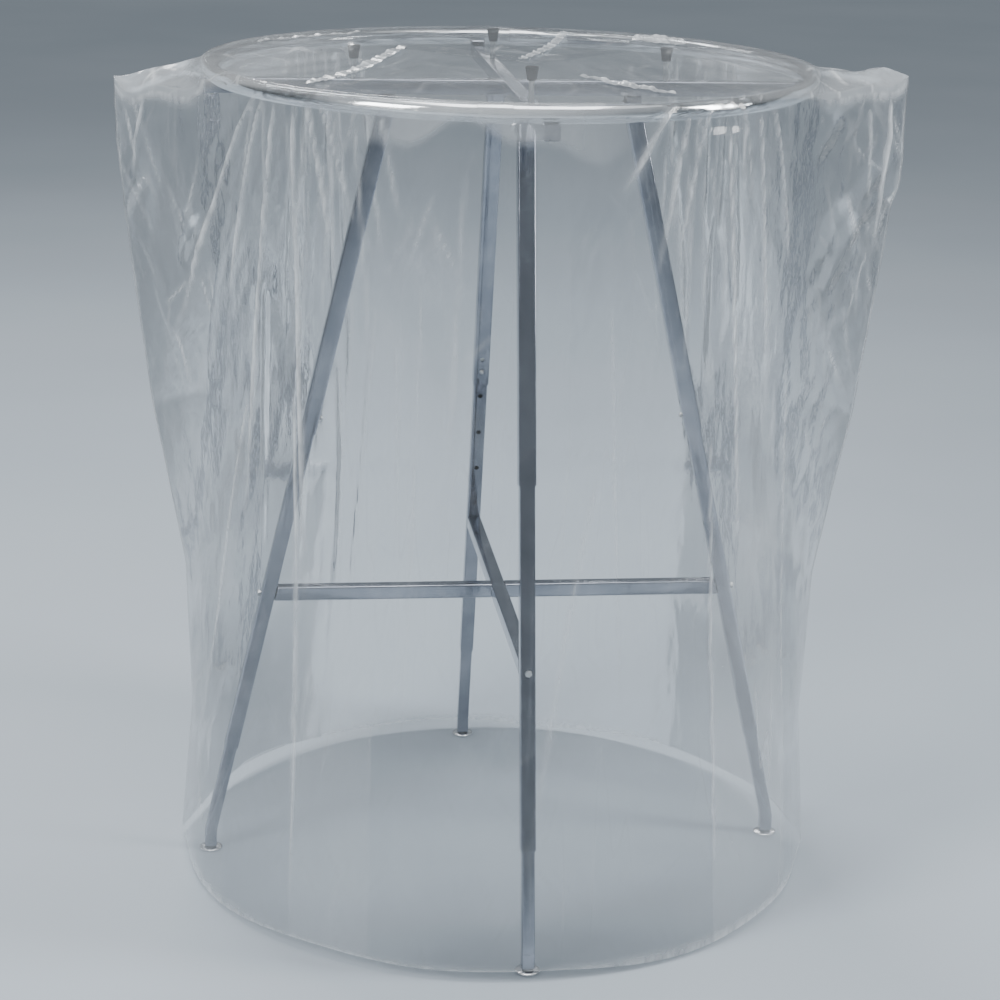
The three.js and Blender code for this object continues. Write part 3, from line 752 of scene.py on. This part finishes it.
def fold_relief(azimuth, z, folds):
    """How far the folds stand out, and how white they are, at places on the bag's sides."""
    rise, white = np.zeros_like(z), np.zeros_like(z)
    for az0, z0, az1, z1, wide0, wide1, stand, bright in folds:
        s = (z0 - z) / (z0 - z1)
        line = np.radians(az0 + (az1 - az0) * np.clip(s, 0, 1) ** 0.85)
        away = (azimuth - line + math.pi) % (2 * math.pi) - math.pi
        slant = math.radians(az1 - az0) * RING_RADIUS / (z0 - z1)
        off = away * RING_RADIUS / math.hypot(1, slant)
        width = wide0 + (wide1 - wide0) * np.clip(s, 0, 1)
        there = smooth_step(s / 0.07) * smooth_step((1.02 - s) / 0.45)
        crest, trough = np.exp(-np.abs(off / width) ** 1.3), 0.35 * np.exp(-((off / width / 2.6) ** 2))
        rise += stand * there * (crest - trough)
        line_width = 0.0020 + 0.18 * width
        white = np.maximum(white, bright * there * np.exp(-((off / line_width) ** 2)))
        white = np.maximum(white, 0.10 * bright * there * np.exp(-((off / width) ** 2)))
    return rise, white


def other_folds(rng):
    """Fans of folds under the back of the ring, and long folds down the back and sides."""
    folds = []
    for middle, lean in ((48, 1), (132, -1)):
        for k in range(9):
            start = middle + rng.uniform(-9, 9)
            end = start + lean * rng.uniform(-8, 10)
            low = rng.uniform(0.6, 1.1)
            wide, bright = rng.uniform(0.008, 0.012), rng.uniform(0.5, 0.9)
            folds.append((start, 1.25, end, low, 0.0035, wide, 0.008, bright))
    for middle, lean in ((-50, 1), (-128, -1)):
        for k in range(8):
            start = middle + rng.uniform(-13, 13)
            end = start + lean * rng.uniform(-6, 8)
            low = rng.uniform(0.85, 1.17)
            folds.append((start, 1.25, end, low, 0.0022, 0.0050, 0.003, rng.uniform(0.15, 0.55)))
    for k in range(9):
        start = rng.uniform(20, 165)
        high, low = rng.uniform(0.6, 1.0), rng.uniform(0.01, 0.25)
        end, bright = start + rng.uniform(-7, 7), rng.uniform(0.25, 0.5)
        folds.append((start, high, end, low, 0.004, 0.007, 0.005, bright))
    return folds


def crumple(along, z, length, rng):
    """Straight creases running in several directions: their height, from -1 to 1, and their crest lines."""
    total, crests = np.zeros_like(z), np.zeros_like(z)
    waves = 5
    for k in range(waves):
        lean = rng.normal(0, 0.45)
        spacing = length * rng.uniform(0.7, 1.6)
        bend = 0.10 * np.sin(z * rng.uniform(6, 14) + along * rng.uniform(3, 9) + rng.uniform(0, 6))
        phase = (along * math.cos(lean) + z * math.sin(lean)) / spacing + bend + rng.uniform(0, 1)
        wave = np.abs((phase % 1) * 2 - 1)
        gate = np.sin(along * rng.uniform(20, 45) + rng.uniform(0, 6))
        gate = gate * np.sin(z * rng.uniform(14, 30) + rng.uniform(0, 6))
        off = (1 - wave) / 2 * spacing
        crests = np.maximum(crests, np.exp(-((off / 0.0024) ** 2)) * smooth_step((gate - 0.15) / 0.8))
        total += 2 * wave - 1
    return total / waves, crests


def patch_strength(azimuth, z):
    strength = np.full_like(z, 0.10)
    for az, height, wide, tall, amount in PATCHES:
        away = ((azimuth - math.radians(az) + math.pi) % (2 * math.pi) - math.pi) * RING_RADIUS
        strength = np.maximum(strength, amount * np.exp(-((away / wide) ** 2) - ((z - height) / tall) ** 2))
    return strength


def panel_haze(azimuth, z):
    haze = np.zeros_like(z)
    for left0, right0, left1, right1, top, milk in PANELS:
        s = np.clip((top - z) / top, 0, 1)
        low = np.radians(left0 + (left1 - left0) * s)
        high = np.radians(right0 + (right1 - right0) * s)
        soft = 0.006 / RING_RADIUS
        inside = smooth_step((azimuth - low) / soft + 0.5) * smooth_step((high - azimuth) / soft + 0.5)
        haze = np.maximum(haze, milk * inside * smooth_step((top - z) / 0.22))
    wavy = 0.045 + 0.020 * np.sin(azimuth * 9 + 1) + 0.010 * np.sin(azimuth * 23)
    below_ring = smooth_step((wavy - (RING_Z - z)) / 0.02) * smooth_step(1.1 - np.abs(azimuth + 1.66) / 0.55)
    return np.maximum(haze, 2.5 * below_ring)


def film_sides(around, rows, rng):
    """The sides row by row from the hem up: points, whiteness and milkiness."""
    points, white, milk = [], [], []
    folds = FRONT_FOLDS + other_folds(rng)
    waves = []
    for _ in range(9):
        waves.append((rng.integers(3, 11), rng.uniform(1.5, 6), rng.uniform(0, 6.28), rng.uniform(0.5, 1)))
    crease_seed, fine_seed = int(rng.integers(1e6)), int(rng.integers(1e6))
    for t in np.linspace(0, 1, rows):
        level = HEM_Z + (RIM_Z - HEM_Z) * t
        x, y = section_points(*level_at(level), around)
        r = np.hypot(x, y)
        azimuth = np.arctan2(y, x)
        z = HEM_Z + (RIM_Z - ear_droop(x, y, 0) - HEM_Z) * t
        rise, bright = fold_relief(azimuth, z, folds)
        free = smooth_step((1 - t) / 0.05) * smooth_step(0.25 + 3 * t)
        swell = sum(a * np.sin(n * azimuth + k * z + p) for n, k, p, a in waves)
        patch = patch_strength(azimuth, z)
        coarse, crest = crumple(azimuth * RING_RADIUS, z, 0.095, np.random.default_rng(crease_seed))
        fine, small_crest = crumple(azimuth * RING_RADIUS, z, 0.040, np.random.default_rng(fine_seed))
        out = 0.0016 * swell * free + rise + free * patch * (0.0110 * coarse + 0.0040 * fine)
        out = np.maximum(out, (FILM_RING - 0.0012 - r) * (z > RING_Z - 0.03))
        scale = (r + out) / r
        if t == 0:
            z = z + 0.005 * np.sin(3 * azimuth + 0.6) + 0.003 * np.sin(8 * azimuth)
        points.append(np.stack([x * scale, y * scale, z], 1))
        broken = 0.55 + 0.35 * np.sin(z * 47) * np.sin(z * 19)
        ear_line = np.exp(-(((r * np.abs(np.sin(azimuth))) / 0.004) ** 2)) * broken
        hem_line = 0.5 * math.exp(-((t * rows / 1.2) ** 2))
        bright = np.maximum(bright, patch * np.maximum(crest, 0.35 * small_crest))
        pocket = 0.55 * smooth_step((r - FILM_RING - 0.008) / 0.03) * math.exp(-(((1 - t) * rows / 1.5) ** 2))
        white.append(np.maximum(np.maximum(bright, ear_line), np.maximum(hem_line, pocket)))
        milk.append(panel_haze(azimuth, z))
    return points, white, milk


def film_top(rim, around, rows, rng):
    """The top row by row from the rim in to the seam between the ears."""
    half = around // 2
    index = np.arange(around)
    seam_x = EAR_REACH * (1 - 2 * np.minimum(index, around - index) / half)
    points, white, milk = [], [], []
    crease_seed = int(rng.integers(1e6))
    for t in np.linspace(0, 1, rows + 1)[1:]:
        x = rim[:, 0] * (1 - t) + seam_x * t
        y = rim[:, 1] * (1 - t)
        r = np.hypot(x, y)
        inside = tent_height(x, y)
        outside = RIM_Z - ear_droop(x, y, t) + 0.008 * smooth_step(t * rows / 3)
        z = np.where(r < FILM_RING - 0.004, inside, np.minimum(outside, FILM_TOP_Z + 0.001))
        coarse, crest = crumple(x * 0.8 + 0.3 * y, y, 0.050, np.random.default_rng(crease_seed))
        near_seam = np.exp(-((y / 0.05) ** 2))
        over_edge = np.exp(-(((r - RING_RADIUS) / 0.02) ** 2))
        in_ear = smooth_step((r - FILM_RING) / 0.03)
        lively = (0.25 + 0.75 * near_seam + 0.8 * in_ear) * (1 - over_edge)
        z = z + 0.004 * lively * (coarse + 0.4)
        z = np.where(np.abs(r - RING_RADIUS) < 0.03, np.maximum(z, ring_clearance(r)), z)
        points.append(np.stack([x, y, z], 1))
        white.append(crest * (0.2 + 0.5 * near_seam + 0.5 * in_ear))
        by_ears = smooth_step((np.abs(x) - 0.20) / 0.16)
        milk.append(0.20 + 0.30 * smooth_step((-0.15 - y) / 0.2) * (x < 0.25) + 0.7 * in_ear + 1.1 * by_ears)
    return points, white, milk


def ring_clearance(r):
    """Lowest height at which film at a radius still clears the ring's tube."""
    tube = RING_TUBE_R + 0.0016
    return RING_Z + np.sqrt(np.maximum(0, tube**2 - (r - RING_RADIUS) ** 2))


def set_values(obj, name, values):
    layer = obj.data.attributes.new(name, "FLOAT", "POINT")
    layer.data.foreach_set("value", np.ascontiguousarray(values, dtype=np.float32))


def turn_to_ears(points):
    """From the bag's own axes, with the ears on X, to the frame's."""
    c, s = math.cos(EAR_AZIMUTH), math.sin(EAR_AZIMUTH)
    x, y, z = points[:, 0], points[:, 1], points[:, 2]
    return np.stack([x * c - y * s, x * s + y * c, z], 1)


def make_film(material):
    around, rows_side, rows_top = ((560, 190, 64))
    rng = np.random.default_rng(11)
    sides = film_sides(around, rows_side, rng)
    top = film_top(sides[0][-1], around, rows_top, rng)
    points, white, milk = (np.concatenate(a + b) for a, b in zip(sides, top))
    rows = rows_side + rows_top
    faces = []
    for j in range(rows - 1):
        a, b = j * around, (j + 1) * around
        faces += [(a + i, a + (i + 1) % around, b + (i + 1) % around, b + i) for i in range(around)]
    mesh = bpy.data.meshes.new("cover_film")
    mesh.from_pydata(turn_to_ears(points).tolist(), [], faces)
    obj = bpy.data.objects.new("cover_film", mesh)
    bpy.context.scene.collection.objects.link(obj)
    mesh.materials.append(material)
    set_values(obj, "white", white)
    set_values(obj, "milk", milk)
    bm = bmesh.new()
    bm.from_mesh(mesh)
    bmesh.ops.remove_doubles(bm, verts=bm.verts, dist=1e-5)
    for face in bm.faces:
        face.smooth = True
    bm.to_mesh(mesh)
    bm.free()
    return obj


def make_strip(start, end, width, lift, rng):
    """A crinkled strip of doubled film lying on the top, between two places in the bag's own axes."""
    start, end = np.array(start), np.array(end)
    run = end - start
    length = np.hypot(*run)
    across = np.array([-run[1], run[0]]) / length
    steps, lanes = int(length / 0.003), 5
    phase = rng.uniform(0, 6, 3)
    points, white = [], []
    for i in range(steps + 1):
        t = i / steps
        ends = math.sin(math.pi * t) ** 0.35
        wave = 0.3 * math.sin(t * length * 170 + phase[0]) + 0.2 * math.sin(t * length * 410 + phase[1])
        for k in range(lanes):
            side = (k / (lanes - 1) - 0.5) * width * (0.35 + 0.65 * ends)
            x, y = start + run * t + across * (side + 0.004 * math.sin(5 * t + phase[2]))
            pucker = 0.0022 * wave * (1 + k / lanes) + lift * ends * (k / (lanes - 1)) ** 2
            base = float(max(tent_height(np.array([x]), np.array([y]))[0], ring_clearance(np.hypot(x, y))))
            points.append((x, y, base + 0.0035 + pucker))
            white.append(0.25 + 0.55 * max(0, wave * 2) + (0.35 if k in (0, lanes - 1) else 0))
    faces = []
    for i in range(steps):
        for k in range(lanes - 1):
            a = i * lanes + k
            faces.append((a, a + 1, a + lanes + 1, a + lanes))
    return points, faces, white


def make_seam(material):
    """The sealed edge of the bag and the loose folds that lie over the ring."""
    rng = np.random.default_rng(5)
    runs = [
        ((-0.275, -0.330), (-0.150, -0.080), 0.018, 0.002),
        ((0.015, -0.190), (0.100, 0.250), 0.012, 0.002),
        ((0.095, -0.280), (0.225, -0.350), 0.013, 0.003),
        ((0.190, 0.195), (0.275, 0.225), 0.022, 0.010),
        ((-0.400, 0.120), (-0.230, 0.290), 0.010, 0.001),
    ]
    points, faces, white = [], [], []
    for start, end, width, lift in runs:
        strip = make_strip(start, end, width, lift, rng)
        faces += [tuple(i + len(points) for i in face) for face in strip[1]]
        points += strip[0]
        white += strip[2]
    obj = make_piece("cover_seam", turn_to_ears(np.array(points)), faces, material)
    set_values(obj, "white", np.array(white))
    set_values(obj, "milk", np.full(len(points), 0.4))
    return ready(obj, "cover", "clear_film")


def make_cover(material):
    obj = ready(make_film(material), "cover", "clear_film", "cover")
    seam = make_seam(material)
    rests = ["visual_half_ring_right", "visual_half_ring_left"]
    rests += ["visual_topper_bumper_" + name for name in LEG_AZIMUTHS]


# ---- Stage ----
def make_stage():
    bpy.ops.mesh.primitive_plane_add(size=120)
    ground = bpy.context.object
    ground.name = "floor"
    ground.data.materials.append(floor_material())


def soft_light(name, place, size, power, target=(0, 0, 0.7)):
    data = bpy.data.lights.new(name, "AREA")
    data.shape, data.size, data.size_y, data.energy = "RECTANGLE", *size, power
    lamp = bpy.data.objects.new(name, data)
    lamp.location = place
    aim = Vector(target) - Vector(place)
    lamp.rotation_mode = "QUATERNION"
    lamp.rotation_quaternion = aim.to_track_quat("-Z", "Y")
    bpy.context.scene.collection.objects.link(lamp)


def make_lights():
    soft_light("key", (-3.4, -2.6, 3.2), (1.6, 2.4), 215)
    soft_light("side", (3.6, -1.2, 2.4), (1.0, 2.6), 160)
    soft_light("back", (-1.2, 3.4, 4.6), (2.6, 1.2), 170)
    soft_light("top", (0, -0.4, 4.6), (2.4, 2.4), 80, (0, 0, 0))
    sky = bpy.data.lights.new("sky", "SUN")
    sky.energy, sky.angle = 0.6, math.radians(60)
    bpy.context.scene.collection.objects.link(bpy.data.objects.new("sky", sky))
    world = bpy.data.worlds.new("studio")
    bpy.context.scene.world = world
    world.use_nodes = True
    tree = world.node_tree
    coords = tree.nodes.new("ShaderNodeTexCoord")
    split = tree.nodes.new("ShaderNodeSeparateXYZ")
    tree.links.new(coords.outputs["Generated"], split.inputs[0])
    tone = colours(tree, split.outputs["Z"], (0.19, 0.215, 0.24), (0.36, 0.39, 0.42), (0.0, 0.8))
    tree.links.new(tone, tree.nodes["Background"].inputs["Color"])
    tree.nodes["Background"].inputs["Strength"].default_value = 0.75


# ---- Put together ----
make_camera()
make_stage()
make_lights()
ring_chrome = metal("ring chrome", (0.78, 0.80, 0.82), (0.90, 0.91, 0.92), (0.03, 0.13))
# The tubes are the same chrome as the ring and glides; their colour is darkened and tinted blue as painted
# shade and painted reflection, so the legs look darker.
tube_chrome = metal("tube chrome", (0.27, 0.29, 0.34), (0.44, 0.46, 0.51), (0.05, 0.18), (1, 1, 0.15))
glide_chrome = metal("glide chrome", (0.70, 0.70, 0.71), (0.88, 0.88, 0.88), (0.08, 0.26))
zinc_plate = metal("zinc plate", (0.50, 0.51, 0.52), (0.72, 0.72, 0.71), (0.22, 0.42), wave=0.12)
black_rubber = rubber()
clear_film = film()

make_ring(ring_chrome)
make_bars(tube_chrome)
for leg_name in LEG_AZIMUTHS:
    leg = Leg(leg_name)
    make_upper_leg(leg, tube_chrome)
    make_base_leg(leg, tube_chrome)
    make_foot(leg, tube_chrome)
    make_glide(leg, glide_chrome)
    make_bolts(leg, zinc_plate)
    make_button(leg, zinc_plate)
    make_post(leg, zinc_plate, black_rubber)
    make_screw(leg, zinc_plate)
    finish_bracket(leg, tube_chrome)
for hub in ("top_hub_stud", "crossbar_hub_stud"):
    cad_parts[hub].data.materials.clear()
    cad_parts[hub].data.materials.append(zinc_plate)
make_cover(clear_film)
